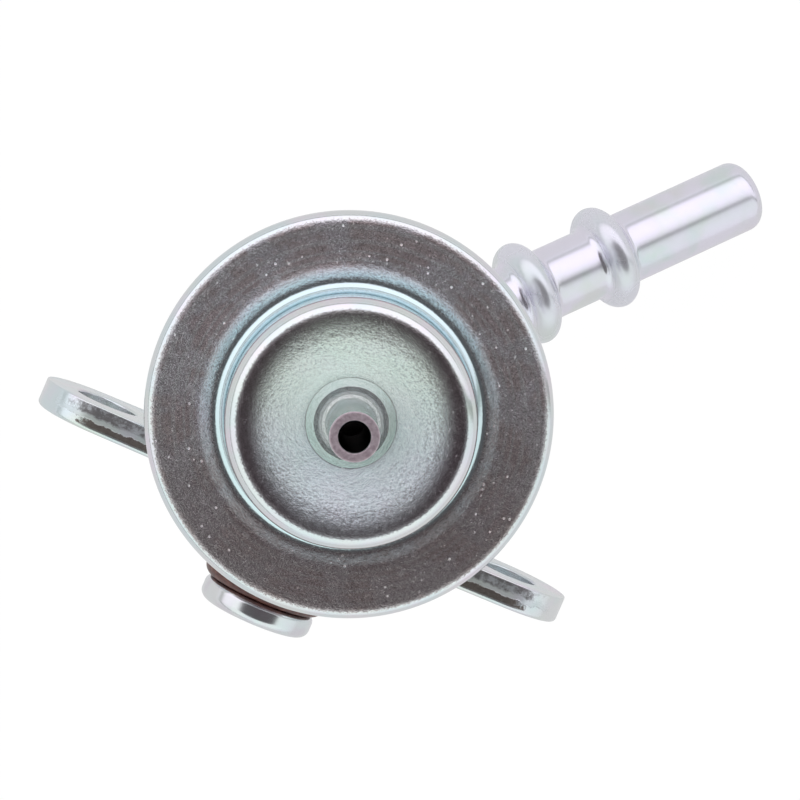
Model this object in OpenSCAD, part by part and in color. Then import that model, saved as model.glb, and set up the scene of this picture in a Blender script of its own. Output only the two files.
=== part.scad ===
// Fuel pressure regulator with a crimped diaphragm can, a vacuum nipple on its cover,
// a two-bolt mounting plate with an O-ring inlet spigot, and a bent, beaded return tube.
// Frame: millimetres, the origin lies on the mounting face at the axis of the inlet spigot,
// +X runs along the plate's ears, -Y points out of the mounting face along the spigot,
// +Z is parallel to the can's axis and points towards the vacuum nipple.

/* [Crimped cover] */
// Height of the cover's flat flange above the inlet axis
flange_z = 15; // [14.2:0.1:18]
// Outside diameter of the rolled rim
flange_d = 40; // [39:0.5:44]
// Sheet thickness of the cover
cover_t = 0.8; // [0.7:0.05:0.9]
// Outside radius of the rolled rim
rim_r = 1.2; // [1.1:0.1:1.4]
// Width of the lip that is rolled in under the body's flange
lip_w = 2.4; // [1.5:0.1:3]
// Outside diameter of the spring cup drawn up out of the cover
cup_d = 24.3; // [24:0.1:25]
// Height of the cup above the flange
cup_h = 7.4; // [7:0.1:10]
// Outside corner radius at the top of the cup
cup_corner_r = 1.6; // [1.2:0.1:2]
// Fillet radius between the cup and the flange
cup_base_r = 1.05; // [0.8:0.05:1.2]
// Depth of the dish pressed into the top of the cup
dish_depth = 1.9; // [1:0.1:2.4]
// Radius of the flat floor of the dish
dish_floor_r = 4.6; // [4.2:0.1:5]
// Rounding from the cup's crest into the slope of the dish
dish_crest_r = 7; // [1.4:0.1:8]

/* [Vacuum nipple] */
// Outside diameter of the nipple
nipple_d = 4.8; // [4.4:0.1:5]
// Bore of the nipple
nipple_bore = 2.8; // [2:0.1:3]
// Length of the nipple above the floor of the dish
nipple_len = 11.7; // [9:0.1:16]
// Diameter of the flat step at the foot of the nipple
nipple_step_d = 7; // [6:0.1:7.2]
// Height of that step
nipple_step_h = 0.6; // [0.4:0.05:0.8]
// Flat ring of the dish's floor that stays free around the step's sloping skirt
nipple_foot_land = 0.25; // [0.15:0.05:0.4]
// Rounding of the nipple's tip
nipple_tip_r = 0.3; // [0.2:0.05:0.4]
// Thickness of the swaged head inside the cover
nipple_head_t = 0.6; // [0.4:0.1:1]

/* [Fuel body] */
// Sheet thickness of the fuel body
body_t = 0.9; // [0.8:0.05:1]
// Outside diameter of the shallow chamber under the diaphragm
chamber_d = 26.8; // [26.4:0.1:28]
// Height of the chamber's underside above the inlet axis
chamber_low_z = 9.4; // [9:0.1:9.6]
// Outside diameter of the can
can_d = 19.2; // [18.8:0.1:20]
// Depth of the can's bottom below the inlet axis
can_depth = 12.6; // [12:0.1:12.8]
// Outside corner radius at the bottom of the can
can_corner_r = 2; // [1.4:0.1:2.6]
// Inside radius of the chamber's bend
body_bend_in_r = 0.6; // [0.5:0.05:0.8]
// Fillet radius under the chamber and under the body's flange
body_fillet_r = 0.7; // [0.5:0.05:0.8]

/* [Mounting plate] */
// Thickness of the plate
plate_t = 2.8; // [2.4:0.1:3.2]
// Distance between the two bolt holes
bolt_spacing = 44; // [42:0.5:48]
// Diameter of the bolt holes
bolt_hole_d = 6.4; // [6:0.1:7]
// Radius of each ear around its bolt hole
ear_r = 6.5; // [5.5:0.1:7.5]
// Radius of the plate around the spigot
plate_mid_r = 8.2; // [7.6:0.1:8.6]

/* [Inlet spigot] */
// Length of the spigot in front of the mounting face
spigot_len = 11.6; // [10.6:0.1:14]
// Outside diameter of the spigot's shoulder and end disc
spigot_d = 11.75; // [11:0.05:12]
// Diameter of the spigot where it fills the hole in the plate
spigot_neck_d = 12.2; // [12:0.1:12.6]
// Diameter of the spigot where it passes through the can's wall
spigot_tail_d = 8.4; // [7.6:0.1:8.8]
// How far the spigot's tail stands inside the can
spigot_tail = 1.6; // [1:0.1:2.4]
// Bore of the spigot
spigot_bore = 5.6; // [4.8:0.1:6]
// Thickness of the disc at the spigot's end
spigot_disc_t = 2.4; // [1.4:0.05:2.6]
// Edge rounding of the disc, as a share of its thickness
spigot_edge_share = 0.38; // [0.15:0.01:0.45]
// Width of the O-ring groove
groove_w = 3; // [2.7:0.1:3.4]
// Diameter of the groove's floor
groove_d = 8.1; // [7.8:0.1:8.3]
// Section diameter of the O-ring
o_ring_section = 2.4; // [2.2:0.05:2.6]

/* [Return tube] */
// Outside diameter of the tube
tube_d = 7.94; // [7.6:0.02:8.2]
// Wall thickness of the tube
tube_wall = 0.8; // [0.7:0.05:1]
// Depth below the inlet axis at which the run's line meets the can's axis
tube_drop = 22; // [22:0.1:25]
// Bend radius at the tube's centre line
bend_r = 12; // [10:0.1:12]
// Direction of the run seen from above, turned from the ears' line
tube_turn = 46; // [0:1:180]
// Slope of the run below the horizontal
tube_slope = 19; // [15:0.5:30]
// Distance of the first bead from the corner, along the run
bead_1_at = 23.5; // [20:0.1:26]
// Distance of the second bead from the corner
bead_2_at = 33.6; // [31:0.1:38]
// Distance of the tube's end from the corner
tube_end_at = 52.5; // [46:0.1:60]
// Outside diameter of the beads
bead_d = 11.6; // [10.4:0.1:12]
// Width of a bead's round crest
bead_w = 3.2; // [2.2:0.1:3.3]
// Fillet radius beside a bead
bead_fillet_r = 0.8; // [0.4:0.05:0.8]
// Radius of the tube's rolled-in end
tube_nose_r = 1.6; // [1.1:0.1:1.8]

/* [Diaphragm and spring] */
// Thickness of the diaphragm
diaphragm_t = 0.6; // [0.5:0.05:0.8]
// Radius of the diaphragm's convolution
fold_r = 10.1; // [9.6:0.05:10.2]
// Half width of the convolution, at the middle of the rubber
fold_half_w = 0.9; // [0.7:0.05:0.95]
// Sheet thickness of the spring cup
seat_cup_t = 0.8; // [0.7:0.05:0.9]
// Width of the spring cup's brim, from the cup's wall to the brim's edge
seat_brim_w = 1.9; // [1.7:0.05:2.1]
// Fillet radius under the spring cup's brim
seat_brim_fillet = 0.3; // [0.2:0.05:0.4]
// Outside corner radius at the bottom of the spring cup
seat_corner_r = 1.4; // [1.1:0.1:1.6]
// Depth of the spring cup below the diaphragm
seat_cup_drop = 7.2; // [6.6:0.1:7.8]
// Thickness of the washer under the diaphragm
washer_t = 1; // [0.8:0.1:1.4]
// Wire diameter of the main spring
spring_wire = 1.8; // [1.5:0.1:1.8]
// Turns of the main spring
spring_turns = 5.2; // [4:0.1:5.4]
// Pitch of a coil's closed end turns, as a share of the wire's diameter
coil_close = 1.06; // [1.04:0.01:1.08]

/* [Valve] */
// Outside diameter of the valve holder
holder_d = 8.6; // [8.4:0.1:9]
// Height of the valve holder below the spring cup
holder_h = 7; // [6.8:0.1:7.6]
// Diameter of the holder's rivet stem
rivet_d = 3.6; // [3:0.1:4]
// Diameter of the rivet's head
rivet_head_d = 5.6; // [5:0.1:6]
// Height of the rivet's head
rivet_head_h = 0.7; // [0.5:0.1:1]
// Diameter of the valve ball
ball_d = 6; // [5.8:0.1:6.2]
// Distance from the ball's centre to its ground flat
ball_flat_drop = 2.2; // [2:0.05:2.4]
// How far the flat stands out below the holder
ball_poke = 0.7; // [0.6:0.05:0.9]
// Thickness of the rolled lip that keeps the ball in
holder_lip_t = 0.4; // [0.3:0.05:0.5]
// Thickness of the holder's roof above the ball spring
holder_roof_t = 0.8; // [0.6:0.1:1]
// Wire diameter of the ball spring
ball_wire = 0.45; // [0.4:0.05:0.5]
// Mean radius of the ball spring
ball_coil_r = 1.6; // [1.4:0.1:1.8]
// Turns of the ball spring
ball_turns = 2.4; // [2:0.1:2.6]
// Diameter of the orifice in the valve seat
orifice_d = 3.2; // [2.6:0.1:3.4]
// Outside diameter of the seat's raised land
land_d = 5.2; // [4.8:0.1:5.6]
// Height of the raised land
land_h = 0.7; // [0.5:0.1:1]
// Thickness of the seat's flange on the tube
seat_flange_t = 0.8; // [0.6:0.1:1.2]
// Length of the seat's shank inside the tube
seat_shank = 4; // [3:0.1:5]
// Wall of the shank at its lower end
seat_shank_wall = 0.6; // [0.5:0.1:1]

/* [Clearances] */
// Room around soft or coiled pieces beside a wall
side_gap = 0.15; // [0.1:0.01:0.2]
// Room between the spring cup's brim and the diaphragm's convolution
brim_gap = 0.1; // [0.05:0.01:0.2]
// Room around the ball in its holder
ball_gap = 0.05; // [0.03:0.01:0.08]
// Room between the O-ring and its groove
o_ring_gap = 0.03; // [0.02:0.01:0.05]

/* [Hidden] */
$fn = 64;
arc_steps = 8;
// Sides of a spring's wire and steps along one of its turns
main_sides = 8;
main_steps = 20;
ball_sides = 6;
ball_steps = 14;

// Cover and clamped stack
flange_r = flange_d / 2;
cup_r = cup_d / 2;
crest_z = flange_z + cup_h;
dish_z = crest_z - dish_depth;
dish_in_z = dish_z - cover_t;
clamp_top_z = flange_z - cover_t;
clamp_low_z = clamp_top_z - diaphragm_t;
body_flange_z = clamp_low_z - body_t;
lip_low_z = body_flange_z - cover_t;
clamp_r = flange_r - rim_r;
corner_c_r = cup_r - cup_corner_r;
corner_c_z = crest_z - cup_corner_r;
dish_run = corner_c_r - dish_floor_r;
// The crest's rounding, limited to this share of what the run down to the dish's floor leaves room for
crest_share = 0.9;
crest_room = crest_share * (dish_run * dish_run + dish_depth * dish_depth) / (2 * dish_depth);
crest_r = min(dish_crest_r, crest_room);
crest_c_z = crest_z - crest_r;
dish_rise = crest_c_z - dish_z;
// Slope of the dish, along the line from its floor that is tangent to the crest's rounding
dish_slope = atan2(dish_rise, dish_run) + asin(crest_r / norm([dish_run, dish_rise]));

// Body
can_r = can_d / 2;
can_low_z = -can_depth;
chamber_r = chamber_d / 2;
body_bend_r = body_t + body_bend_in_r;
axis_y = plate_t + can_r;

// Spigot
spigot_r = spigot_d / 2;
spigot_disc_w = spigot_len - spigot_disc_t;
spigot_edge_r = spigot_disc_t * spigot_edge_share;
groove_start_w = spigot_disc_w - groove_w;
spigot_tail_w = plate_t + body_t + spigot_tail;
o_ring_r = groove_d / 2 + o_ring_section / 2 + o_ring_gap;
o_ring_w = spigot_disc_w - o_ring_section / 2 - o_ring_gap;

// Spring cup and valve
seat_brim_r = fold_r - fold_half_w - diaphragm_t / 2 - brim_gap;
seat_wall_r = seat_brim_r - seat_brim_w;
seat_floor_z = clamp_low_z - seat_cup_drop;
spring_low_z = seat_floor_z + seat_cup_t;
spring_len = dish_in_z - spring_low_z;
spring_r = seat_wall_r - seat_cup_t - side_gap - spring_wire / 2;
holder_low_z = seat_floor_z - holder_h;
flat_z = holder_low_z - ball_poke;
ball_r = ball_d / 2;
ball_z = flat_z + ball_flat_drop;
lip_top_z = holder_low_z + holder_lip_t;
lip_r = sqrt(ball_r * ball_r - pow(ball_z - lip_top_z, 2)) + ball_gap;
roof_z = seat_floor_z - holder_roof_t;
// Height on the ball at which the ball spring's wire rests
ball_rest_z = ball_z + sqrt(pow(ball_r + ball_wire / 2, 2) - ball_coil_r * ball_coil_r);
ball_coil_z = ball_rest_z + ball_gap - ball_wire / 2;

// Return tube
tube_r = tube_d / 2;
tube_in_r = tube_r - tube_wall;
bend_angle = 90 - tube_slope;
bend_run = bend_r * tan(bend_angle / 2);
bend_z = -tube_drop + bend_run;
// The tube draws in by this radius in the bend, and the bend runs on this many degrees into the run
bend_draw = 0.02;
bend_lap = 1;
tube_top_z = flat_z - land_h - seat_flange_t;
bead_c_r = bead_d / 2 - bead_w / 2;
fillet_c_r = tube_r + bead_fillet_r;
fillet_off = sqrt(pow(bead_w / 2 + bead_fillet_r, 2) - pow(fillet_c_r - bead_c_r, 2));
bead_sweep = atan2(fillet_off, fillet_c_r - bead_c_r);

// Points along an arc, from one angle to another
function arc(c, r, a0, a1) =
    [for (i = [0:arc_steps]) let (a = a0 + (a1 - a0) * i / arc_steps) c + r * [cos(a), sin(a)]];

// Outline of one bead on the tube, with its two fillets, along the run
function bead(at) = concat(
    arc([fillet_c_r, at - fillet_off], bead_fillet_r, 180, 180 - bead_sweep),
    arc([bead_c_r, at], bead_w / 2, -bead_sweep, bead_sweep),
    arc([fillet_c_r, at + fillet_off], bead_fillet_r, 180 + bead_sweep, 180));

// Height of a coil's centre line after n turns, with one close turn at each end
function coil_z(n, turns, wire, len) =
    let (close = wire * coil_close, open = (len - wire - 2 * close) / (turns - 2))
    wire / 2 + close * min(n, 1) + open * max(0, min(n - 1, turns - 2)) + close * max(0, n - turns + 1);

// One ring of points around the wire, after n turns
function coil_ring(n, turns, wire, len, r, sides) =
    [for (k = [0:sides - 1]) let (a = 360 * (k + 0.5) / sides, rr = r + wire / 2 * cos(a))
        [rr * cos(360 * n), rr * sin(360 * n), coil_z(n, turns, wire, len) + wire / 2 * sin(a)]];

module coil(turns, wire, len, r, sides, per_turn) {
    rings = floor(turns * per_turn);
    points = [for (i = [0:rings]) each coil_ring(turns * i / rings, turns, wire, len, r, sides)];
    walls = [for (i = [0:rings - 1], k = [0:sides - 1]) let (m = (k + 1) % sides)
        [i * sides + k, (i + 1) * sides + k, (i + 1) * sides + m, i * sides + m]];
    caps = [[for (k = [0:sides - 1]) k], [for (k = [sides - 1:-1:0]) rings * sides + k]];
    polyhedron(points, concat(walls, caps));
}

// Places a piece that is turned about the can's axis
module on_can_axis() {
    translate([0, axis_y, 0]) children();
}

// Places a piece that is turned about the inlet axis, with its z pointing out of the mounting face
module on_inlet_axis() {
    rotate([90, 0, 0]) children();
}

module spring_cover() {
    fillet_c = [cup_r + cup_base_r, flange_z + cup_base_r];
    corner_c = [corner_c_r, corner_c_z];
    crest_c = [corner_c_r, crest_c_z];
    outside = concat(
        [[nipple_d / 2, dish_z], [dish_floor_r, dish_z]],
        arc(crest_c, crest_r, 90 + dish_slope, 90),
        arc(corner_c, cup_corner_r, 90, 0),
        arc(fillet_c, cup_base_r, 180, 270),
        arc([clamp_r, flange_z - rim_r], rim_r, 90, 0),
        arc([clamp_r, lip_low_z + rim_r], rim_r, 0, -90),
        [[clamp_r - lip_w, lip_low_z]]);
    inside = concat(
        [[clamp_r - lip_w, body_flange_z]],
        arc([clamp_r, lip_low_z + rim_r], rim_r - cover_t, -90, 0),
        arc([clamp_r, flange_z - rim_r], rim_r - cover_t, 0, 90),
        arc(fillet_c, cup_base_r + cover_t, 270, 180),
        arc(corner_c, cup_corner_r - cover_t, 0, 90),
        arc(crest_c, crest_r - cover_t, 90, 90 + dish_slope),
        [[dish_floor_r + cover_t * tan(dish_slope / 2), dish_in_z], [nipple_d / 2, dish_in_z]]);
    color("lightsteelblue") on_can_axis() rotate_extrude() polygon(concat(outside, inside));
}

module vacuum_nipple() {
    r = nipple_d / 2;
    step_r = nipple_step_d / 2;
    foot_r = dish_floor_r - nipple_foot_land;
    tip_z = dish_z + nipple_len;
    foot_z = dish_z + nipple_step_h;
    outline = concat(
        [[nipple_bore / 2, dish_in_z - nipple_head_t], [step_r, dish_in_z - nipple_head_t],
         [step_r, dish_in_z], [r, dish_in_z], [r, dish_z], [foot_r, dish_z],
         [step_r, foot_z]],
        arc([r + nipple_tip_r, foot_z + nipple_tip_r], nipple_tip_r, 270, 180),
        arc([r - nipple_tip_r, tip_z - nipple_tip_r], nipple_tip_r, 0, 90),
        [[nipple_bore / 2 + nipple_tip_r, tip_z], [nipple_bore / 2, tip_z - nipple_tip_r]]);
    color("silver") on_can_axis() rotate_extrude() polygon(outline);
}

module fuel_body() {
    corner_c = [can_r - can_corner_r, can_low_z + can_corner_r];
    waist_c = [can_r + body_fillet_r, chamber_low_z - body_fillet_r];
    chamber_c = [chamber_r - body_bend_r, chamber_low_z + body_bend_r];
    flange_c = [chamber_r + body_fillet_r, body_flange_z - body_fillet_r];
    outside = concat(
        [[tube_r, can_low_z]],
        arc(corner_c, can_corner_r, -90, 0),
        arc(waist_c, body_fillet_r, 180, 90),
        arc(chamber_c, body_bend_r, -90, 0),
        arc(flange_c, body_fillet_r, 180, 90),
        [[clamp_r, body_flange_z]]);
    inside = concat(
        [[clamp_r, clamp_low_z]],
        arc(flange_c, body_fillet_r + body_t, 90, 180),
        arc(chamber_c, body_bend_r - body_t, 0, -90),
        arc(waist_c, body_fillet_r + body_t, 90, 180),
        arc(corner_c, can_corner_r - body_t, 0, -90),
        [[tube_r, can_low_z + body_t]]);
    color("lightsteelblue") difference() {
        on_can_axis() rotate_extrude() polygon(concat(outside, inside));
        rotate([-90, 0, 0]) cylinder(d = spigot_tail_d, h = axis_y);
    }
}

module mounting_plate() {
    half = bolt_spacing / 2;
    // Angle from the ears' line at which the straight sides leave the circles
    lean = acos((plate_mid_r - ear_r) / half);
    quarter = [for (c = [[half, ear_r], [0, plate_mid_r]]) [c[0] + c[1] * cos(lean), c[1] * sin(lean)]];
    sides = concat(
        quarter,
        [for (i = [1, 0]) [-quarter[i][0], quarter[i][1]]],
        [for (i = [0, 1]) -quarter[i]],
        [for (i = [1, 0]) [quarter[i][0], -quarter[i][1]]]);
    color("gainsboro") on_inlet_axis() translate([0, 0, -plate_t]) linear_extrude(plate_t) difference() {
        union() {
            polygon(sides);
            circle(plate_mid_r);
            for (sx = [1, -1]) translate([sx * half, 0]) circle(ear_r);
        }
        circle(d = spigot_neck_d);
        for (sx = [1, -1]) translate([sx * half, 0]) circle(d = bolt_hole_d);
    }
}

module inlet_spigot() {
    tail_r = spigot_tail_d / 2;
    neck_r = spigot_neck_d / 2;
    edge_c = spigot_r - spigot_edge_r;
    outline = concat(
        [[spigot_bore / 2, -spigot_tail_w], [tail_r, -spigot_tail_w], [tail_r, -plate_t],
         [neck_r, -plate_t], [neck_r, 0], [spigot_r, 0], [spigot_r, groove_start_w],
         [groove_d / 2, groove_start_w], [groove_d / 2, spigot_disc_w]],
        arc([edge_c, spigot_disc_w + spigot_edge_r], spigot_edge_r, -90, 0),
        arc([edge_c, spigot_len - spigot_edge_r], spigot_edge_r, 0, 90),
        [[spigot_bore / 2, spigot_len]]);
    color("silver") on_inlet_axis() rotate_extrude() polygon(outline);
}

module inlet_o_ring() {
    color("saddlebrown") on_inlet_axis() translate([0, 0, o_ring_w])
        rotate_extrude() translate([o_ring_r, 0]) circle(d = o_ring_section);
}

// The tube's path: straight stem, bend, and a run turned from its own outline
module tube_path(r, run) {
    translate([0, 0, bend_z]) cylinder(r = r, h = tube_top_z - bend_z);
    translate([bend_r, 0, bend_z]) rotate([0, 180, 0]) rotate([90, 0, 0]) {
        rotate_extrude(angle = bend_angle + bend_lap) translate([bend_r, 0]) circle(r - bend_draw);
        rotate([0, 0, bend_angle]) translate([bend_r, -bend_run, 0]) rotate([-90, 0, 0])
            rotate_extrude() polygon(run);
    }
}

module return_tube() {
    nose_c = [tube_r - tube_nose_r, tube_end_at - tube_nose_r];
    outside = concat(
        [[0, bend_run], [tube_r, bend_run]],
        bead(bead_1_at),
        bead(bead_2_at),
        arc(nose_c, tube_nose_r, 0, 90),
        [[0, tube_end_at]]);
    bore = concat(
        [[0, bend_run], [tube_in_r, bend_run]],
        arc(nose_c, tube_nose_r - tube_wall, 0, 90),
        [[nose_c[0], tube_end_at], [0, tube_end_at]]);
    color("gainsboro") on_can_axis() rotate([0, 0, tube_turn]) difference() {
        tube_path(tube_r, outside);
        tube_path(tube_in_r, bore);
    }
}

module valve_seat() {
    orifice_r = orifice_d / 2;
    // The bore opens out below the orifice
    throat_r = tube_in_r - seat_shank_wall;
    land_low_z = flat_z - land_h;
    outline = [
        [orifice_r, flat_z], [land_d / 2, flat_z], [land_d / 2, land_low_z], [tube_r, land_low_z],
        [tube_r, tube_top_z], [tube_in_r, tube_top_z], [tube_in_r, tube_top_z - seat_shank],
        [throat_r, tube_top_z - seat_shank], [orifice_r, tube_top_z]];
    color("khaki") on_can_axis() rotate_extrude() polygon(outline);
}

module diaphragm() {
    mid_z = clamp_low_z + diaphragm_t / 2;
    outer = fold_half_w + diaphragm_t / 2;
    inner = fold_half_w - diaphragm_t / 2;
    rise = asin(diaphragm_t / 2 / outer);
    hole_r = seat_wall_r + seat_brim_fillet + side_gap;
    outline = concat(
        [[hole_r, clamp_top_z]],
        arc([fold_r, mid_z], outer, 180 - rise, rise),
        [[clamp_r, clamp_top_z], [clamp_r, clamp_low_z], [fold_r + inner, clamp_low_z]],
        arc([fold_r, mid_z], inner, 0, 180),
        [[fold_r - inner, clamp_low_z], [hole_r, clamp_low_z]]);
    color("dimgray") on_can_axis() rotate_extrude() polygon(outline);
}

module spring_cup() {
    corner_c = [seat_wall_r - seat_corner_r, seat_floor_z + seat_corner_r];
    brim_c = [seat_wall_r + seat_brim_fillet, clamp_top_z - seat_brim_fillet];
    outline = concat(
        [[rivet_d / 2, seat_floor_z]],
        arc(corner_c, seat_corner_r, -90, 0),
        arc(brim_c, seat_brim_fillet, 180, 90),
        [[seat_brim_r, clamp_top_z], [seat_brim_r, clamp_top_z + seat_cup_t]],
        arc(brim_c, seat_brim_fillet + seat_cup_t, 90, 180),
        arc(corner_c, seat_corner_r - seat_cup_t, 0, -90),
        [[rivet_d / 2, spring_low_z]]);
    color("silver") on_can_axis() rotate_extrude() polygon(outline);
}

module backing_washer() {
    color("silver") on_can_axis() translate([0, 0, clamp_low_z - washer_t]) linear_extrude(washer_t)
        difference() {
            circle(seat_brim_r);
            circle(seat_wall_r);
        }
}

module main_spring() {
    color("slategray") on_can_axis() translate([0, 0, spring_low_z])
        coil(spring_turns, spring_wire, spring_len, spring_r, main_sides, main_steps);
}

module valve_holder() {
    cavity_r = ball_r + ball_gap;
    outline = [
        [lip_r, holder_low_z], [holder_d / 2, holder_low_z], [holder_d / 2, seat_floor_z],
        [rivet_d / 2, seat_floor_z], [rivet_d / 2, spring_low_z], [rivet_head_d / 2, spring_low_z],
        [rivet_head_d / 2, spring_low_z + rivet_head_h], [0, spring_low_z + rivet_head_h],
        [0, roof_z], [cavity_r, roof_z], [cavity_r, lip_top_z], [lip_r, lip_top_z]];
    color("silver") on_can_axis() rotate_extrude() polygon(outline);
}

module valve_ball() {
    color("white") on_can_axis() translate([0, 0, ball_z]) difference() {
        sphere(ball_r);
        translate([0, 0, -ball_flat_drop - ball_r]) cylinder(r = ball_r, h = ball_r);
    }
}

module ball_spring() {
    color("slategray") on_can_axis() translate([0, 0, ball_coil_z])
        coil(ball_turns, ball_wire, roof_z - ball_coil_z, ball_coil_r, ball_sides, ball_steps);
}

spring_cover();
vacuum_nipple();
fuel_body();
mounting_plate();
inlet_spigot();
inlet_o_ring();
return_tube();
valve_seat();
diaphragm();
spring_cup();
backing_washer();
main_spring();
valve_holder();
valve_ball();
ball_spring();
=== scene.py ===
"""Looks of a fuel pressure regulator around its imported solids: formed and plated sheet, a turned
spigot and nipple, a beaded tube, and the studio that they are seen in."""

from math import ceil, cos, degrees, pi, radians, sin, tan

import bmesh
import bpy
from mathutils import Matrix, Vector


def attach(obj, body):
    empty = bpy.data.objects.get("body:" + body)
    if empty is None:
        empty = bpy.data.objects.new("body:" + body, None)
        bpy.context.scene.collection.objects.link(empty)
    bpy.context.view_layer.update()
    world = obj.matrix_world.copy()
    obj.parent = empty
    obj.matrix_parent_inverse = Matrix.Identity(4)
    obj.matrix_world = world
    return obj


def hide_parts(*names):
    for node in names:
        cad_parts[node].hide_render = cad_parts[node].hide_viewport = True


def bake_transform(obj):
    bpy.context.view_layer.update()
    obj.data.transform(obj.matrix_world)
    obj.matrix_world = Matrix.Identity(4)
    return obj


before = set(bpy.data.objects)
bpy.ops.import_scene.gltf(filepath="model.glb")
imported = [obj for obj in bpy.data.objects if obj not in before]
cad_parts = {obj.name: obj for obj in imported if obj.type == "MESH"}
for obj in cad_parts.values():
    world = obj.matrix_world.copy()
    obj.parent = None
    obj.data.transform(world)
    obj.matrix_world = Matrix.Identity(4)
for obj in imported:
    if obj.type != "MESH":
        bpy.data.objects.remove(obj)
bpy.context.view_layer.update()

# Sizes are in millimetres; points closer than SEAM are one
MM = 0.001
SEAM = 0.003

# The can's upright axis, and the spigot's axis out of the mounting face
CAN_Y = 12.4
CAN_AXIS = Matrix.Translation((0, CAN_Y, 0))
INLET_AXIS = Matrix.Rotation(pi / 2, 4, "X")

# Cover: sheet, flange with its rolled rim, spring cup and dish
SHEET = 0.8
FLANGE_R, FLANGE_TOP = 20.0, 15.0
RIM_ROUND = 1.2
LIP_R = 16.4
CUP_R, CUP_TOP = 12.15, 22.4
DIP_R = 14.75
DISH_R, DISH_FLOOR, DISH_CREST_R = 4.42, 20.5, 9.165
DISH_UNDER = DISH_FLOOR - SHEET

# Nipple, with a ledge on the dish's floor
NIPPLE_R, NIPPLE_BORE_R, NIPPLE_TOP = 2.4, 1.4, 32.2
NIPPLE_HEAD_R, NIPPLE_HEAD = 3.5, 0.6
NIPPLE_MOUTH_R, NIPPLE_MOUTH = 1.62, 0.3
SKIRT_R, LEDGE_R, LEDGE_Z = 4.35, 3.62, 21.1
BRAZE_R, BRAZE_MIDDLE_R = 2.8, 2.52

# Fuel can and diaphragm, clamped under the cover's flange
RUBBER, BODY_SHEET = 0.6, 0.9
CLAMP_R = FLANGE_R - RIM_ROUND
CLAMP_TOP = FLANGE_TOP - SHEET
CLAMP_LOW = CLAMP_TOP - RUBBER
BODY_FLANGE = CLAMP_LOW - BODY_SHEET
LIP_LOW = BODY_FLANGE - SHEET
CHAMBER_R, CHAMBER_LOW = 13.4, 9.4
FUEL_CAN_R, FUEL_CAN_LOW = 9.6, -12.6
FOLD_R, FOLD_TOP = 10.1, 15.1
FOLD_OUTSIDE, FOLD_INSIDE = 1.16, 0.6
SPRING_CUP_R = 7.35

# Main spring, between the spring cup's floor and the cover
COIL_R, WIRE_R = 5.05, 0.9
COIL_LOW, COIL_HIGH = 8.1, 18.8
CLOSED_PITCH, OPEN_PITCH, OPEN_TURNS = 1.908, 2.151, 3.2

# Mounting plate, and the spigot with the seal in its groove
PLATE_T, BOLT_X, BOLT_HOLE_R = 2.8, 22.0, 3.2
EAR_R, PLATE_MIDDLE_R = 6.5, 8.2
FACE_ROLL, BACK_ROLL, BOLT_HOLE_ROLL, SPIGOT_HOLE_ROLL = 0.45, 0.16, 0.25, 0.12
SPIGOT_R, SPIGOT_NECK_R, SPIGOT_TAIL_R, SPIGOT_BORE_R = 5.875, 6.1, 4.2, 2.8
SPIGOT_END, SPIGOT_TAIL = 11.6, -5.3
GROOVE_R, GROOVE_START, GROOVE_END = 4.05, 6.2, 9.2
SEAL_R, SEAL_GAP = 1.2, 0.03

# The tube's route: its line meets the can's axis at TUBE_CORNER, with an elbow inside that corner
TUBE_R, TUBE_BORE_R, TUBE_MOUTH_R = 3.97, 3.17, 2.35
ELBOW_R, ELBOW_TURN = 12.0, radians(71)
ELBOW_RUN = ELBOW_R * tan(ELBOW_TURN / 2)
TUBE_CORNER = -22.0
ELBOW_Z = TUBE_CORNER + ELBOW_RUN
TUBE_TOP = -2.8
TUBE_END = 52.5
TUBE_TURN = radians(46)
TUBE_AZIMUTH = Matrix.Rotation(TUBE_TURN, 4, "Z")
BEADS, BEAD_R = (23.5, 33.6), 5.8
BEAD_HALF, BEAD_TOP_HALF, BEAD_FILLET, BEAD_ROUND = 1.70, 1.256, 0.79, 1.59

# The photo's directions in the part's frame
RIGHT = Vector((0.91677, 0.39739, 0.04031))
UP = Vector((-0.39163, 0.91413, -0.10488))
BACK = Vector((-0.07853, 0.08035, 0.99367))


# Shader maths

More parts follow.
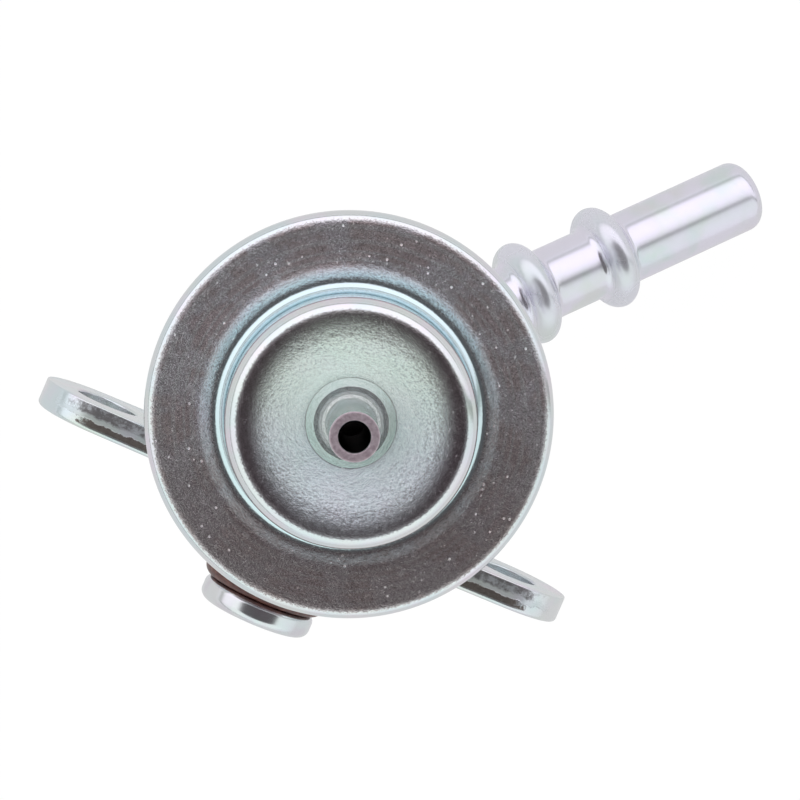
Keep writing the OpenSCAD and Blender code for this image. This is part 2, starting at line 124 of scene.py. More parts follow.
class Link:
    """A shader socket that Python's operators work on; what is built on it adds nodes to its tree."""

    def __init__(self, tree, socket):
        self.tree = tree
        self.socket = socket

    def node(self, kind, settings=None, inputs=None, out=0):
        """Adds a node of any kind: first its settings, then the values or links of its sockets."""
        added = self.tree.nodes.new(kind)
        for key, value in (settings or {}).items():
            setattr(added, key, value)
        for key, value in (inputs or {}).items():
            if isinstance(value, Link):
                self.tree.links.new(value.socket, added.inputs[key])
            else:
                added.inputs[key].default_value = value
        return Link(self.tree, added.outputs[out])

    def math(self, operation, *values):
        return self.node("ShaderNodeMath", {"operation": operation}, dict(enumerate(values)))

    def __add__(self, other):
        return self.math("ADD", self, other)

    __radd__ = __add__

    def __sub__(self, other):
        return self.math("SUBTRACT", self, other)

    def __rsub__(self, other):
        return self.math("SUBTRACT", other, self)

    def __mul__(self, other):
        return self.math("MULTIPLY", self, other)

    __rmul__ = __mul__

    def __truediv__(self, other):
        return self.math("DIVIDE", self, other)

    def __pow__(self, other):
        return self.math("POWER", self, other)

    def most(self, other):
        """The larger of this value and another."""
        return self.math("MAXIMUM", self, other)

    def step(self, low, high):
        """0 below low, 1 above high and smooth between; low may be the higher one."""
        return self.node("ShaderNodeMapRange", {"interpolation_type": "SMOOTHSTEP"},
                         {"Value": self, "From Min": low, "From Max": high})

    def mixed(self, first, second):
        """first where this is 0, second where it is 1, as colours."""
        return self.node("ShaderNodeMix", {"data_type": "RGBA"}, {0: self, 6: first, 7: second}, out=2)

    def noise(self, scale, detail=3.0, rough=0.55):
        return self.node("ShaderNodeTexNoise", {},
                         {"Vector": self, "Scale": scale, "Detail": detail, "Roughness": rough})

    def cells(self, scale):
        """Distance to the nearest of many scattered points."""
        return self.node("ShaderNodeTexVoronoi", {}, {"Vector": self, "Scale": scale})

    def stretched(self, x, y, z):
        return self.node("ShaderNodeMapping", {}, {"Vector": self, "Scale": (x, y, z)})

    def part(self, axis):
        return self.node("ShaderNodeSeparateXYZ", {}, {0: self}, out="XYZ".index(axis))

    def dot(self, direction):
        return self.node("ShaderNodeVectorMath", {"operation": "DOT_PRODUCT"}, {0: self, 1: direction}, out=1)

    def bump(self, height, strength, distance, below=None):
        """A normal from a height in millimetres, on top of another normal."""
        inputs = {"Height": height, "Strength": strength, "Distance": distance * MM}
        if below:
            inputs["Normal"] = below
        return self.node("ShaderNodeBump", {}, inputs)


def finish(name, paint, **constants):
    """A material with the sockets that paint(place) varies; place is in millimetres in the part's frame."""
    material = bpy.data.materials.new(name)
    material.use_nodes = True
    tree = material.node_tree
    shader = tree.nodes["Principled BSDF"]
    for socket, value in constants.items():
        shader.inputs[socket.replace("_", " ")].default_value = value
    start = Link(tree, None)
    coordinates = start.node("ShaderNodeTexCoord", out=3)
    place = start.node("ShaderNodeVectorMath", {"operation": "SCALE"}, {0: coordinates, 3: 1 / MM})
    for socket, value in paint(place).items():
        tree.links.new(value.socket, shader.inputs[socket])
    return material


# Finishes

GREY_ZINC = (0.80, 0.81, 0.82, 1)
BLUE_ZINC = (0.72, 0.82, 0.85, 1)
PINK_ZINC = (0.86, 0.77, 0.87, 1)
GREEN_ZINC = (0.77, 0.84, 0.78, 1)
BROWN_ZINC = (0.64, 0.53, 0.53, 1)
MAUVE_ZINC = (0.75, 0.71, 0.75, 1)
LAVENDER_ZINC = (0.86, 0.83, 0.93, 1)
# Painted reflection of the bright cup wall, on the flange round the cup's base
FOOT_PAINTED_REFLECTION = (0.68, 0.84, 0.88, 1)
# Painted shade on the lower side of the flange
FLANGE_PAINTED_SHADE = (0.42, 0.34, 0.34, 1)
# Painted reflection tints of the dish: bluer on its lower side, greener on its upper side
DISH_LOWER_REFLECTION_BLUE, DISH_UPPER_REFLECTION_GREEN = (0.78, 0.83, 0.88, 1), (0.82, 0.89, 0.80, 1)
# Painted shade on the dish's crest
CREST_PAINTED_SHADE = (0.20, 0.15, 0.17, 1)
FLECK_GREY = (0.32, 0.30, 0.31, 1)
BEAD_GREY = (0.80, 0.86, 0.86, 1)
# Colours of the plate's cut edge: its own torn and sheared bands, darkened partly by painted shade
TORN_DARK_AND_SHADE, TORN_PALE = (0.17, 0.155, 0.16, 1), (0.50, 0.51, 0.54, 1)
SHEARED_BROWN_AND_SHADE = (0.15, 0.115, 0.10, 1)
TURNED_MAUVE = (0.74, 0.69, 0.76, 1)
NIPPLE_GREEN, NIPPLE_GREY = (0.74, 0.84, 0.83, 1), (0.84, 0.86, 0.86, 1)
TIP_DARK, TIP_PALE = (0.40, 0.28, 0.33, 1), (0.60, 0.48, 0.53, 1)
BRAZE_PALE = (0.88, 0.90, 0.88, 1)
SKIRT_GREEN = (0.50, 0.60, 0.56, 1)
# Painted shade on the nipple's flat ledge
LEDGE_PAINTED_SHADE = (0.30, 0.33, 0.33, 1)
# Painted shade inside the nipple's bore
BORE_PAINTED_SHADE = (0.02, 0.02, 0.02, 1)


def passivated(place, scale, strength):
    """The faint blue, pink and green of clear passivation on zinc."""
    blue = place.noise(scale, 2.0).step(0.40, 0.62) * strength
    pink = place.noise(scale * 1.37, 2.0).step(0.46, 0.70) * strength
    green = place.stretched(1, 1.3, 0.7).noise(scale * 0.83, 2.0).step(0.52, 0.72) * strength
    return green.mixed(pink.mixed(blue.mixed(GREY_ZINC, BLUE_ZINC), PINK_ZINC), GREEN_ZINC)


def from_axis(place):
    """Distance from the can's axis."""
    x, y = place.part("X"), place.part("Y") - CAN_Y
    return (x * x + y * y) ** 0.5


def cover_zinc(place):
    """Smooth where the sheet was drawn round a bend, grained on the flange and in the dish."""
    radius, height = from_axis(place), place.part("Z")
    upwards = place.dot((-0.39, 0.92, 0)) - CAN_Y * 0.92
    grain = place.noise(1.5, 6.0, 0.70)
    fine = place.noise(5.0, 4.0, 0.65)
    cloud = place.noise(0.28, 4.0, 0.6)
    drawn = place.node("ShaderNodeTexNoise", {"noise_dimensions": "1D"},
                       {"W": radius, "Scale": 1.6, "Detail": 3.0})
    ragged = radius + (fine - 0.5) * 0.8
    flange = ragged.step(CUP_R + 0.75, CUP_R + 1.55) * ragged.step(FLANGE_R - 0.6, FLANGE_R - 0.9)
    flange = flange * height.step(FLANGE_TOP + 1.0, FLANGE_TOP + 0.5)
    dish = ragged.step(CUP_R - 0.95, CUP_R - 1.35) * height.step(DISH_FLOOR - 0.7, DISH_FLOOR - 0.5)
    # crest: a dark ring round the dish's rim, thin at the top and bottom of the view and wide at the sides,
    # painted as shade
    crest = (ragged - upwards * upwards * 0.010).step(CUP_R - 3.75, CUP_R - 1.85) * dish
    # foot: a blue band round the cup's base, wider on the upper side of the view, is a painted reflection of
    # the bright cup wall
    foot = radius.step(CUP_R - 0.25, CUP_R + 0.05) * radius.step(CUP_R + 2.85, CUP_R + 1.45)
    foot = foot * height.step(FLANGE_TOP + 4.0, FLANGE_TOP + 1.0)
    foot = foot * upwards.step(-4.0, 9.0).most(radius.step(CUP_R + 1.45, CUP_R + 1.05))
    rough = flange + dish
    pits = place.cells(1.15).step(0.16, 0.04) * place.noise(0.7, 2.0).step(0.47, 0.62) * (flange + crest)
    flecks = fine.step(0.52, 0.36) * (flange + dish * radius.step(4.0, 9.0))
    tone = passivated(place, 0.16, 0.6)
    tone = (foot * 0.8).mixed(tone, FOOT_PAINTED_REFLECTION)
    tone = (flange * (1.0 - foot) * 0.8).mixed(tone, cloud.step(0.42, 0.58).mixed(MAUVE_ZINC, BROWN_ZINC))
    tone = (flange * drawn.step(0.46, 0.60) * 0.5).mixed(tone, GREY_ZINC)
    # The flange is painted darker towards the bottom of the view: painted shade
    tone = (flange * upwards.step(8.0, -14.0) * 0.62).mixed(tone, FLANGE_PAINTED_SHADE)
    # The dish is painted bluer towards the bottom of the view and greener towards the top: a painted
    # reflection tint
    tone = (dish * 0.7).mixed(tone, upwards.step(-5.0, 6.0).mixed(DISH_LOWER_REFLECTION_BLUE, DISH_UPPER_REFLECTION_GREEN))
    # Painted shade on the dish's crest
    tone = (crest * 0.9).mixed(tone, CREST_PAINTED_SHADE)
    tone = (flecks * 0.5).mixed(tone, FLECK_GREY)
    dull = 0.10 + rough * 0.08 + grain.step(0.40, 0.70) * rough * 0.10
    skin = place.bump(grain + fine * 0.4 - pits * 0.8, 0.06 + flange * 0.45 + dish * 0.42, 0.18)
    skin = place.bump(drawn, 0.12, 0.05, skin)
    return {"Base Color": tone, "Roughness": dull, "Normal": skin}


def tube_zinc(place):
    """Lavender film; the rolled beads are duller than the drawn tube."""
    line = Vector((cos(TUBE_TURN) * sin(ELBOW_TURN), sin(TUBE_TURN) * sin(ELBOW_TURN), -cos(ELBOW_TURN)))
    corner = (0, CAN_Y, TUBE_CORNER)
    out = place.node("ShaderNodeVectorMath", {"operation": "SUBTRACT"}, {0: place, 1: corner})
    run = out.dot(line)
    beads = ((out.dot(out) - run * run) ** 0.5).step(TUBE_R + 0.05, TUBE_R + 0.63)
    beads = beads * run.step(BEADS[0] - 8.5, BEADS[0] - 6.5)
    cloud = place.noise(0.22, 3.0)
    tone = cloud.step(0.30, 0.60).mixed(passivated(place, 0.12, 0.7), LAVENDER_ZINC)
    tone = (beads * 0.3).mixed(tone, BEAD_GREY)
    dull = 0.17 + cloud * 0.06 + beads * 0.07
    skin = place.bump(place.noise(3.0, 4.0), 0.08, 0.015)
    return {"Base Color": tone, "Roughness": dull, "Metallic": 0.88 - beads * 0.16, "Normal": skin}


def plate_zinc(place):
    """Blanked sheet: the ears' cut edge is sheared next to the mounting face and torn from there on; the dark
    colours of both bands are partly painted shade.
    """
    through, along, upright = place.part("Y"), place.part("X"), place.part("Z")
    mottle = place.noise(1.3, 5.0, 0.7)
    grain = place.noise(3.2, 5.0, 0.70)
    reach = (along * along) ** 0.5 + (mottle - 0.5) * 6.0
    straight = ((upright * upright) ** 0.5).step(4.0, 4.8)
    ragged = through + (place.stretched(1, 0.4, 1).noise(0.9, 5.0, 0.7) - 0.5) * 1.2
    clean = ragged.step(1.22, 1.12) * straight
    # sheared and torn bands: the cut edge's own texture, with dark colours that are partly painted shade and
    # stop short of the ears' lit tips
    sheared = clean * through.step(0.42, 0.55) * reach.step(BOLT_X + 2.4, BOLT_X + 1.6)
    torn = ragged.step(1.55, 1.80) * through.step(PLATE_T - 0.10, PLATE_T - 0.25) * straight
    torn = torn * reach.step(BOLT_X + 3.8, BOLT_X + 1.2)
    lip = ragged.step(1.12, 1.22) * ragged.step(1.90, 1.50) * straight
    tone = passivated(place, 0.14, 0.8)
    tone = (torn * 0.9).mixed(tone, mottle.step(0.44, 0.62).mixed(TORN_DARK_AND_SHADE, TORN_PALE))
    tone = (sheared * 0.92).mixed(tone, SHEARED_BROWN_AND_SHADE)
    dull = 0.16 + grain * 0.08 + torn * 0.12
    gloss = 0.92 - (torn + sheared) * 0.3 - lip * 0.5
    skin = place.bump(clean, 0.5, 0.10)
    skin = place.bump(grain, 0.06 + (torn + sheared) * 0.40, 0.16, skin)
    return {"Base Color": tone, "Roughness": dull, "Metallic": gloss, "Normal": skin}


def turned_zinc(place):
    """Bright, with patches of mauve film."""
    mauve = place.noise(0.35, 2.0).step(0.40, 0.62) * 0.6
    tone = mauve.mixed(passivated(place, 0.2, 0.5), TURNED_MAUVE)
    dull = 0.14 + place.noise(1.2, 3.0) * 0.10
    skin = place.bump(place.noise(5.0, 4.0), 0.10, 0.015)
    return {"Base Color": tone, "Roughness": dull, "Normal": skin}


def nipple_zinc(place):
    """A mauve film on the cut tip, a coarse bead of braze at the foot, and a bore painted black as shade."""
    radius, height = from_axis(place), place.part("Z")
    braze = radius.step(NIPPLE_R + 0.02, NIPPLE_R + 0.10) * radius.step(NIPPLE_R + 0.8, NIPPLE_R + 0.5)
    braze = braze * height.step(DISH_FLOOR + 0.3, DISH_FLOOR + 0.5)
    tip = height.step(NIPPLE_TOP - 0.15, NIPPLE_TOP - 0.05)
    skirt = radius.step(NIPPLE_R + 1.1, NIPPLE_R + 1.25) * height.step(LEDGE_Z + 0.1, LEDGE_Z)
    ledge = radius.step(NIPPLE_R + 0.35, NIPPLE_R + 0.45) * radius.step(NIPPLE_R + 1.2, NIPPLE_R + 1.1)
    ledge = ledge * height.step(LEDGE_Z + 0.2, LEDGE_Z + 0.1)
    bore = radius.step(NIPPLE_BORE_R + 0.15, NIPPLE_BORE_R + 0.02)
    grain = place.noise(2.6, 4.0, 0.7)
    tone = place.noise(0.3, 2.0).step(0.38, 0.62).mixed(NIPPLE_GREEN, NIPPLE_GREY)
    tone = (tip * 0.9).mixed(tone, grain.step(0.35, 0.65).mixed(TIP_DARK, TIP_PALE))
    tone = (braze * 0.7).mixed(tone, BRAZE_PALE)
    tone = (skirt * 0.8).mixed(tone, SKIRT_GREEN)
    # The flat ledge round the braze is painted dark grey as shade
    tone = (ledge * 0.6).mixed(tone, LEDGE_PAINTED_SHADE)
    # The bore's wall is painted black: painted shade
    tone = bore.mixed(tone, BORE_PAINTED_SHADE)
    dull = 0.17 + grain * 0.12 + tip * 0.15
    skin = place.bump(grain, 0.10 + braze * 0.9 + (skirt + ledge) * 0.4, 0.22)
    return {"Base Color": tone, "Roughness": dull, "Metallic": 1.0 - tip * 0.5, "Normal": skin}


def ring_rubber(place):
    """Red-brown, a little dusty."""
    dust = place.noise(1.4, 5.0, 0.65)
    tone = dust.step(0.35, 0.75).mixed((0.085, 0.030, 0.026, 1), (0.21, 0.085, 0.065, 1))
    dull = 0.30 + place.noise(2.0, 3.0) * 0.2
    skin = place.bump(place.noise(6.0, 4.0), 0.2, 0.03)
    return {"Base Color": tone, "Roughness": dull, "Normal": skin}


def black_rubber(place):
    """Matt, as on the diaphragm's fabric."""
    dust = place.noise(1.8, 4.0)
    tone = dust.mixed((0.012, 0.012, 0.012, 1), (0.035, 0.034, 0.033, 1))
    skin = place.bump(place.noise(3.0), 0.15, 0.03)
    return {"Base Color": tone, "Roughness": 0.5 + dust * 0.2, "Normal": skin}


def drawn_wire(place):
    """Dark grey spring wire."""
    film = place.noise(0.8, 4.0)
    tone = film.mixed((0.26, 0.26, 0.27, 1), (0.42, 0.40, 0.38, 1))
    skin = place.bump(place.noise(7.0), 0.15, 0.02)
    return {"Base Color": tone, "Roughness": 0.24 + film * 0.2, "Normal": skin}


def bright_steel(place):
    """Bare stainless pieces of the valve."""
    film = place.noise(1.0, 3.0)
    tone = film.mixed((0.62, 0.61, 0.59, 1), (0.72, 0.71, 0.70, 1))
    skin = place.bump(place.noise(8.0), 0.1, 0.01)
    return {"Base Color": tone, "Roughness": 0.16 + film * 0.14, "Normal": skin}


FINISHES = {
    "cover": finish("plated_cover", cover_zinc, Metallic=1.0),
    "tube": finish("plated_tube", tube_zinc),
    "plate": finish("plated_plate", plate_zinc),
    "turned": finish("plated_turnings", turned_zinc, Metallic=1.0),
    "nipple": finish("plated_nipple", nipple_zinc),
    "o_ring": finish("o_ring_rubber", ring_rubber),
    "rubber": finish("diaphragm_rubber", black_rubber),
    "wire": finish("spring_wire", drawn_wire, Metallic=1.0),
    "steel": finish("bright_steel", bright_steel, Metallic=1.0),
}


# Modelling

def round_corner(bm, post, radius):
    """Turns one corner of a wire outline into an arc of that radius."""
    one, other = [(edge.other_vert(post).co - post.co).normalized() for edge in post.link_edges]
    turn = pi - one.angle(other)
    bmesh.ops.bevel(bm, geom=[post], offset=radius * tan(turn / 2), offset_type="OFFSET", affect="VERTICES",
                    segments=max(3, ceil(degrees(turn) / 6)), profile=0.5, material=-1, clamp_overlap=False)


def turned(corners, steps, longest, closed=True):
    """A body of revolution about z from corners (radius, height, rounding), cut into edges up to longest."""
    bm = bmesh.new()
    posts = [bm.verts.new((r, 0, z)) for r, z, _ in corners]
    for one, other in zip(posts, posts[1:] + posts[:1] if closed else posts[1:]):
        bm.edges.new((one, other))
    for post, (_, _, radius) in zip(posts, corners):
        if radius:
            round_corner(bm, post, radius)
    for edge in list(bm.edges):
        cuts = ceil(edge.calc_length() / longest) - 1
        if cuts > 0:
            bmesh.ops.subdivide_edges(bm, edges=[edge], cuts=cuts)
    bmesh.ops.spin(bm, geom=bm.verts[:] + bm.edges[:], cent=(0, 0, 0), axis=(0, 0, 1), angle=2 * pi,
                   steps=steps, use_merge=True)
    return bm


def placed(bm, matrix):
    bmesh.ops.transform(bm, matrix=matrix, verts=bm.verts)
    return bm


def joined(*parts):
    """Several parts as one."""
    whole = bmesh.new()
    for part in parts:
        mesh = bpy.data.meshes.new("part")
        part.to_mesh(mesh)
        part.free()
        whole.from_mesh(mesh)
        bpy.data.meshes.remove(mesh)
    bmesh.ops.remove_doubles(whole, verts=whole.verts, dist=SEAM)
    return whole


def made(bm, name, material, node, stretch=None):
    """Closes a piece's seams, turns its faces outwards and puts it on the housing in place of a solid.

    With stretch, two heights, it is only baked where it stands and not put on the housing; the heights are
    not used."""
    bmesh.ops.remove_doubles(bm, verts=bm.verts, dist=SEAM)
    bmesh.ops.recalc_face_normals(bm, faces=bm.faces)
    bmesh.ops.scale(bm, vec=(MM, MM, MM), verts=bm.verts)
    mesh = bpy.data.meshes.new(name)
    bm.to_mesh(mesh)
    bm.free()
    mesh.shade_smooth()
    mesh.set_sharp_from_angle(angle=radians(50))
    mesh.materials.append(FINISHES[material])
    piece = bpy.data.objects.new(name, mesh)
    bpy.context.scene.collection.objects.link(piece)
    if stretch:
        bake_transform(piece)
    else:
        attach(piece, "housing")
    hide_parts(node)
    return piece


def crimped_cover():
    """From the nipple's hole up over the dish and down the cup, round the rim, and back inside the sheet."""
    cup_inside, rim_inside, cup_under = CUP_R - SHEET, FLANGE_R - SHEET, CUP_TOP - SHEET
    crest_inside, dish_inside = DISH_CREST_R + 0.165, DISH_R + 0.34
    bm = turned([
        (NIPPLE_R, DISH_FLOOR, 0), (DISH_R, DISH_FLOOR, 0.3), (DISH_CREST_R, CUP_TOP, 6.9),
        (CUP_R, CUP_TOP, 1.58), (CUP_R, CLAMP_TOP, 1.35), (DIP_R, FLANGE_TOP, 2),
        (FLANGE_R, FLANGE_TOP, RIM_ROUND), (FLANGE_R, LIP_LOW, RIM_ROUND), (LIP_R, LIP_LOW, 0.3),
        (LIP_R, BODY_FLANGE, 0.2), (rim_inside, BODY_FLANGE, 0.4), (rim_inside, CLAMP_TOP, 0.4),
        (cup_inside, CLAMP_TOP, 1.85), (cup_inside, cup_under, 0.79), (crest_inside, cup_under, 6),
        (dish_inside, DISH_UNDER, 1.5), (NIPPLE_R, DISH_UNDER, 0)], steps=192, longest=0.45)
    made(placed(bm, CAN_AXIS), "crimped_cover", "cover", "spring_cover")


def vacuum_nipple():
    head_low = DISH_UNDER - NIPPLE_HEAD
    bm = turned([
        (NIPPLE_BORE_R, head_low, 0.15), (NIPPLE_HEAD_R, head_low, 0.2), (NIPPLE_HEAD_R, DISH_UNDER, 0),
        (NIPPLE_R, DISH_UNDER, 0), (NIPPLE_R, DISH_FLOOR, 0), (SKIRT_R, DISH_FLOOR, 0),
        (LEDGE_R, LEDGE_Z, 0.15), (BRAZE_R, LEDGE_Z, 0.12), (BRAZE_MIDDLE_R, LEDGE_Z + 0.3, 0.2),
        (NIPPLE_R, LEDGE_Z + 0.8, 0.4), (NIPPLE_R, NIPPLE_TOP, 0.2), (NIPPLE_MOUTH_R, NIPPLE_TOP, 0.1),
        (NIPPLE_BORE_R, NIPPLE_TOP - NIPPLE_MOUTH, 0.1)], steps=128, longest=0.4)
    made(placed(bm, CAN_AXIS), "vacuum_nipple_tube", "nipple", "vacuum_nipple")


def fuel_can():
    """Stepped: a flange in the cover's rim, a wide chamber and a narrow can on the tube."""
    chamber_inside, can_inside = CHAMBER_R - BODY_SHEET, FUEL_CAN_R - BODY_SHEET
    chamber_floor, can_floor = CHAMBER_LOW + BODY_SHEET, FUEL_CAN_LOW + BODY_SHEET
    bm = turned([
        (TUBE_R, FUEL_CAN_LOW, 0), (FUEL_CAN_R, FUEL_CAN_LOW, 2), (FUEL_CAN_R, CHAMBER_LOW, 0.7),
        (CHAMBER_R, CHAMBER_LOW, 1.5), (CHAMBER_R, BODY_FLANGE, 0.7), (CLAMP_R, BODY_FLANGE, 0),
        (CLAMP_R, CLAMP_LOW, 0), (chamber_inside, CLAMP_LOW, 1.6), (chamber_inside, chamber_floor, 0.6),
        (can_inside, chamber_floor, 1.6), (can_inside, can_floor, 1.1), (TUBE_R, can_floor, 0)],
        steps=160, longest=0.6)
    made(placed(bm, CAN_AXIS), "fuel_can", "cover", "fuel_body")


def plate_outline():
    """The plate's outline in full thickness, its two rims rolled over, open where its faces go."""
    bm = bmesh.new()
    for x, radius in ((BOLT_X, EAR_R), (-BOLT_X, EAR_R), (0, PLATE_MIDDLE_R)):
        bmesh.ops.create_cone(bm, cap_ends=True, segments=192, radius1=radius, radius2=radius, depth=PLATE_T,
                              matrix=Matrix.Translation((x, 0, PLATE_T / 2)))
    hull = bmesh.ops.convex_hull(bm, input=bm.verts)
    buried = [item for item in hull["geom_interior"] if isinstance(item, bmesh.types.BMVert)]
    bmesh.ops.delete(bm, geom=buried, context="VERTS")
    bmesh.ops.dissolve_limit(bm, angle_limit=radians(0.2), verts=bm.verts, edges=bm.edges, delimit=set())
    for height, roll in ((0, FACE_ROLL), (PLATE_T, BACK_ROLL)):
        rim = [e for e in bm.edges if all(abs(v.co.z - height) < 1e-4 for v in e.verts)
               and any(abs(f.normal.z) < 0.5 for f in e.link_faces)]
        bmesh.ops.bevel(bm, geom=rim, offset=roll, offset_type="OFFSET", affect="EDGES", segments=10,
                        profile=0.5, material=-1, clamp_overlap=False)
    for x in (BOLT_X / 2, -BOLT_X / 2):
        bmesh.ops.bisect_plane(bm, geom=bm.verts[:] + bm.edges[:] + bm.faces[:], plane_co=(x, 0, 0),
                               plane_no=(1, 0, 0))
    fields = [f for f in bm.faces if abs(f.normal.z) > 0.999 and f.calc_area() > 40]
    bmesh.ops.delete(bm, geom=fields, context="FACES_ONLY")
    return bm


def hole_wall(x, radius, roll):
    """The wall of a punched hole in the plate, rolled over at both faces."""
    mouth = radius + roll
    bm = turned([(mouth, 0, 0), (radius, 0, roll), (radius, PLATE_T, roll), (mouth, PLATE_T, 0)],
                steps=96, longest=0.5, closed=False)
    return placed(bm, Matrix.Translation((x, 0, 0)))


def mounting_plate():
    """Ears and middle in one blanked outline, with two bolt holes and the spigot's hole."""
    holes = ((BOLT_X, BOLT_HOLE_R, BOLT_HOLE_ROLL), (0, SPIGOT_NECK_R, SPIGOT_HOLE_ROLL),
             (-BOLT_X, BOLT_HOLE_R, BOLT_HOLE_ROLL))
    bm = joined(plate_outline(), *(hole_wall(*hole) for hole in holes))
    middle, end = BOLT_X / 2, BOLT_X + EAR_R + 1.5
    for low, high in ((-end, -middle), (-middle, middle), (middle, end)):
        for height in (0, PLATE_T):
            rings = [e for e in bm.edges if len(e.link_faces) < 2 and all(
                abs(v.co.z - height) < 1e-3 and low - 1e-3 < v.co.x < high + 1e-3 for v in e.verts)]
            bmesh.ops.triangle_fill(bm, use_beauty=True, edges=rings)
    made(placed(bm, Matrix.Rotation(-pi / 2, 4, "X")), "mounting_plate_blank", "plate",
         "mounting_plate")


def inlet_spigot():
    """From its tail in the fuel can through the plate and the seal's groove to the disc at its end."""
    bm = turned([
        (SPIGOT_BORE_R, SPIGOT_TAIL, 0.2), (SPIGOT_TAIL_R, SPIGOT_TAIL, 0.2), (SPIGOT_TAIL_R, -PLATE_T, 0),
        (SPIGOT_NECK_R, -PLATE_T, 0), (SPIGOT_NECK_R, 0, 0.1), (SPIGOT_R, 0, 0.05),
        (SPIGOT_R, GROOVE_START, 0.3), (GROOVE_R, GROOVE_START, 0.25), (GROOVE_R, GROOVE_END, 0.25),
        (SPIGOT_R, GROOVE_END, 0.7), (SPIGOT_R, SPIGOT_END, 0.95), (SPIGOT_BORE_R, SPIGOT_END, 0.3)],
        steps=160, longest=0.4)
    made(placed(bm, INLET_AXIS), "turned_spigot", "turned", "inlet_spigot")


def inlet_o_ring():
    bm = bmesh.new()
    centre = Matrix.Translation((GROOVE_R + SEAL_GAP + SEAL_R, 0, GROOVE_END - SEAL_GAP - SEAL_R))
    section = bmesh.ops.create_circle(bm, segments=40, radius=SEAL_R,
                                      matrix=centre @ Matrix.Rotation(pi / 2, 4, "X"))
    bmesh.ops.spin(bm, geom=section["verts"] + list(bm.edges), cent=(0, 0, 0), axis=(0, 0, 1), angle=2 * pi,
                   steps=160, use_merge=True)
    made(placed(bm, INLET_AXIS), "inlet_seal_ring", "o_ring", "inlet_o_ring")


def bead_corners(at):
    """One rolled bead on the tube, with its two fillets."""
    return [(TUBE_R, at - BEAD_HALF, BEAD_FILLET), (BEAD_R, at - BEAD_TOP_HALF, BEAD_ROUND),
            (BEAD_R, at + BEAD_TOP_HALF, BEAD_ROUND), (TUBE_R, at + BEAD_HALF, BEAD_FILLET)]


def return_tube():
    """A stem on the can's axis, an elbow swept from it and the beaded run with its mouth rolled in."""
    steps = 96
    stem = turned([(TUBE_R, ELBOW_Z, 0), (TUBE_R, TUBE_TOP, 0.1), (TUBE_BORE_R, TUBE_TOP, 0.1),
                   (TUBE_BORE_R, ELBOW_Z, 0)], steps, longest=0.8, closed=False)
    rings = [edge for edge in stem.edges if edge.is_boundary]
    bmesh.ops.spin(stem, geom=list({v for e in rings for v in e.verts}) + rings, cent=(ELBOW_R, 0, ELBOW_Z),
                   axis=(0, -1, 0), angle=ELBOW_TURN, steps=36)
    beads = [corner for at in BEADS for corner in bead_corners(at)]
    run = turned([(TUBE_R, ELBOW_RUN, 0), *beads, (TUBE_R, TUBE_END, 1.6), (TUBE_MOUTH_R, TUBE_END, 0.3),
                  (TUBE_MOUTH_R, TUBE_END - 0.7, 0.25), (TUBE_BORE_R, TUBE_END - 1.5, 0.5),
                  (TUBE_BORE_R, ELBOW_RUN, 0)], steps, longest=0.5, closed=False)
    placed(run, Matrix.Translation((0, 0, TUBE_CORNER)) @ Matrix.Rotation(pi - ELBOW_TURN, 4, "Y"))
    tube = placed(joined(stem, run), CAN_AXIS @ TUBE_AZIMUTH)
    made(tube, "beaded_return_tube", "tube", "return_tube")


def half_diaphragm(side, edge, longest):
    """The sheet from the crest of its fold out to an edge; side is 1 outside the fold and -1 inside it."""
    outside, inside = FOLD_R + side * FOLD_OUTSIDE, FOLD_R + side * FOLD_INSIDE
    fold_under = FOLD_TOP - RUBBER
    bm = turned([
        (FOLD_R, FOLD_TOP, 0), (outside, FOLD_TOP, 0.88), (outside, CLAMP_TOP, 0), (edge, CLAMP_TOP, 0),
        (edge, CLAMP_LOW, 0), (inside, CLAMP_LOW, 0), (inside, fold_under, 0.58), (FOLD_R, fold_under, 0)],
        steps=96, longest=longest)
    return placed(bm, CAN_AXIS)


def diaphragm():
    """In two, cut along the crest of its fold."""
    made(half_diaphragm(1, CLAMP_R, 0.8), "diaphragm_rim", "rubber", "diaphragm")
    made(half_diaphragm(-1, SPRING_CUP_R, 0.3), "diaphragm_middle", "rubber", "diaphragm",
         stretch=(FOLD_TOP - 0.25, CLAMP_TOP))


def main_spring():
    """A coil with a closed turn at each end, from the spring cup's floor up to the cover."""
    bm = bmesh.new()
    section = Matrix.Translation((COIL_R, 0, COIL_LOW)) @ Matrix.Rotation(pi / 2, 4, "X")
    bmesh.ops.create_circle(bm, cap_ends=True, segments=20, radius=WIRE_R, matrix=section)
    last = bm.verts[:] + bm.edges[:] + bm.faces[:]
    for turns, pitch in ((1, CLOSED_PITCH), (OPEN_TURNS, OPEN_PITCH), (1, CLOSED_PITCH)):
        steps = round(turns * 40)
        rise = (0, 0, pitch * turns / steps)
        swept = bmesh.ops.spin(bm, geom=last, cent=(0, 0, 0), axis=(0, 0, 1), dvec=rise,
                               angle=2 * pi * turns, steps=steps)
        last = swept["geom_last"]
    made(placed(bm, CAN_AXIS), "main_coil_spring", "wire", "main_spring",
         stretch=(COIL_HIGH, COIL_LOW))


crimped_cover()
vacuum_nipple()
fuel_can()
mounting_plate()
inlet_spigot()
inlet_o_ring()
return_tube()
diaphragm()
main_spring()
for node, material in (("valve_seat", "steel"), ("spring_cup", "steel"), ("backing_washer", "steel"),
                       ("valve_holder", "steel"), ("valve_ball", "steel"), ("ball_spring", "wire")):
    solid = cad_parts[node].data
    solid.materials.clear()
    solid.materials.append(FINISHES[material])


# Studio

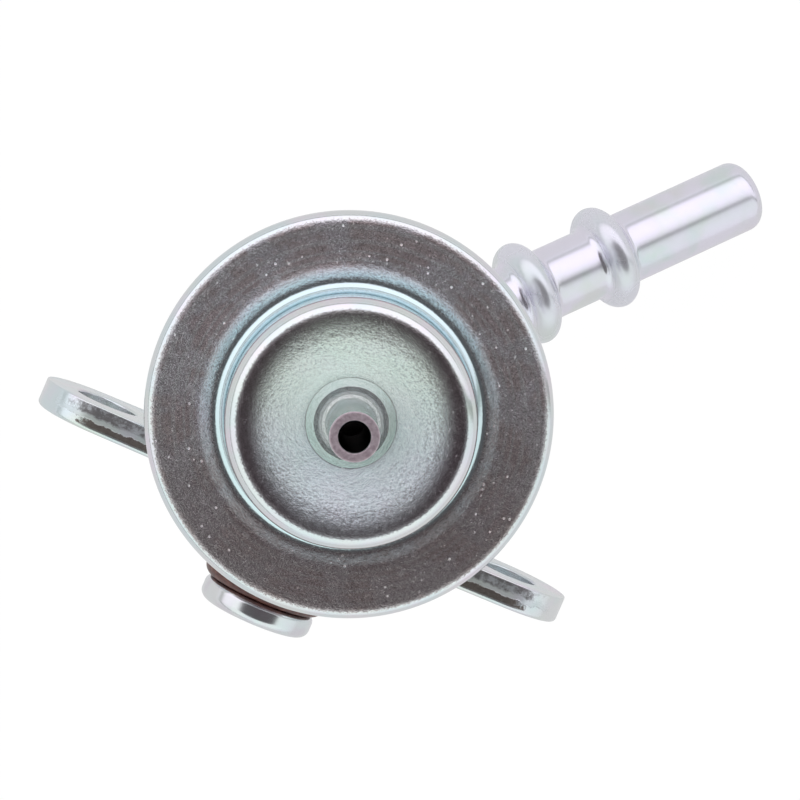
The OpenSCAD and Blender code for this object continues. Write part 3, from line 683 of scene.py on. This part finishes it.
FLOOR_Z, FLOOR_R = -43.2, 6000.0
FLOOR_WHITE, FLOOR_MATT = (1.03, 1.03, 1.03, 1), (0.85, 0.85, 0.85, 1)
FLOOR_MIRRORED = (0.78, 0.78, 0.78, 1)
UPPER_PANEL, LOWER_PANEL = (1.22, 1.20, 1.27, 1), (0.95, 1.02, 1.00, 1)
SIDE_PANEL, HORIZON = (0.52, 0.52, 0.54, 1), (0.86, 0.88, 0.90, 1)
SEAM_SHADE, SLOT_SHADE = (0.20, 0.22, 0.19, 1), (0.110, 0.102, 0.106, 1)
SLOT_ACROSS, SLOT_ALONG = tan(radians(40)), tan(radians(33))
LENS, CAMERA_PLACE = 169.94, Vector((-24.967, 45.335, 379.755))


def floor_finish():
    """White where it is seen, and a matt floor that takes shadow where it lights the part."""
    material = bpy.data.materials.new("studio_floor")
    material.use_nodes = True
    tree = material.node_tree
    tree.nodes.remove(tree.nodes["Principled BSDF"])
    start = Link(tree, None)
    seen = start.node("ShaderNodeLightPath", out=0)
    glossy = start.node("ShaderNodeLightPath", out=3)
    through = start.node("ShaderNodeLightPath", out=6)
    mirrored = glossy.most(through) * (1.0 - seen)
    matt = start.node("ShaderNodeBsdfDiffuse", {}, {"Color": FLOOR_MATT})
    white = start.node("ShaderNodeEmission", {}, {"Color": seen.mixed(FLOOR_MIRRORED, FLOOR_WHITE)})
    both = start.node("ShaderNodeMixShader", {}, {0: seen * 0.95 + mirrored * 0.80, 1: matt, 2: white})
    tree.links.new(both.socket, tree.nodes["Material Output"].inputs[0])
    return material


def studio():
    """A wide round floor just under the part."""
    bm = bmesh.new()
    bmesh.ops.create_circle(bm, cap_ends=True, segments=64, radius=FLOOR_R * MM,
                            matrix=Matrix.Translation((0, 0, FLOOR_Z * MM)))
    mesh = bpy.data.meshes.new("floor")
    bm.to_mesh(mesh)
    bm.free()
    mesh.materials.append(floor_finish())
    floor = bpy.data.objects.new("floor", mesh)
    bpy.context.scene.collection.objects.link(floor)


def tent():
    """A white light tent: a dark slot overhead, a seam at the right and the upper panel's low edge."""
    world = bpy.data.worlds.new("light_tent")
    bpy.context.scene.world = world
    world.use_nodes = True
    tree = world.node_tree
    start = Link(tree, None)
    ray = start.node("ShaderNodeTexCoord", out=0)
    slot_centre = (BACK - 0.20 * UP + 0.13 * RIGHT).normalized()
    sideways = 0.966 * RIGHT - 0.259 * UP
    sideways = (sideways - sideways.dot(slot_centre) * slot_centre).normalized()
    ahead = ray.dot(slot_centre)
    across = ray.dot(sideways) / ahead
    along = ray.dot(slot_centre.cross(sideways)) / ahead
    slot = ((across / SLOT_ACROSS) ** 2.0 + (along / SLOT_ALONG) ** 2.0).step(1.25, 0.70)
    slot = slot * ahead.step(0.0, 0.1)
    height, upper, right = ray.part("Z"), ray.dot(UP), ray.dot(RIGHT)
    panels = upper.step(-0.3, 0.5).mixed(LOWER_PANEL, UPPER_PANEL)
    panels = (right.step(0.45, 0.95) * 0.25).mixed(panels, SIDE_PANEL)
    panels = height.step(0.42, 0.10).mixed(panels, HORIZON)
    edge = height.step(0.06, 0.14) * height.step(0.28, 0.19)
    edge = edge * upper.step(0.2, 0.5).most(right.step(-0.3, -0.6))
    seam = upper.step(-0.15, -0.04) * upper.step(0.12, 0.02) * right.step(0.35, 0.55)
    light = (edge.most(seam) * 0.65).mixed(panels, SEAM_SHADE)
    light = slot.mixed(light, SLOT_SHADE)
    seen = start.node("ShaderNodeLightPath", out=0)
    light = seen.mixed(light, (1, 1, 1, 1))
    tree.links.new(light.socket, tree.nodes["Background"].inputs["Color"])


def camera():
    """The photo's view, from above the vacuum nipple."""
    data = bpy.data.cameras.new("photo_camera")
    data.sensor_width, data.lens = 36.0, LENS
    data.clip_start, data.clip_end = 0.01, 50.0
    view = bpy.data.objects.new("photo_camera", data)
    turn = Matrix((RIGHT, UP, BACK)).transposed().to_4x4()
    view.matrix_world = Matrix.Translation(CAMERA_PLACE * MM) @ turn
    bpy.context.scene.collection.objects.link(view)
    bpy.context.scene.camera = view


studio()
tent()
camera()
bpy.context.scene.view_settings.view_transform = "Standard"
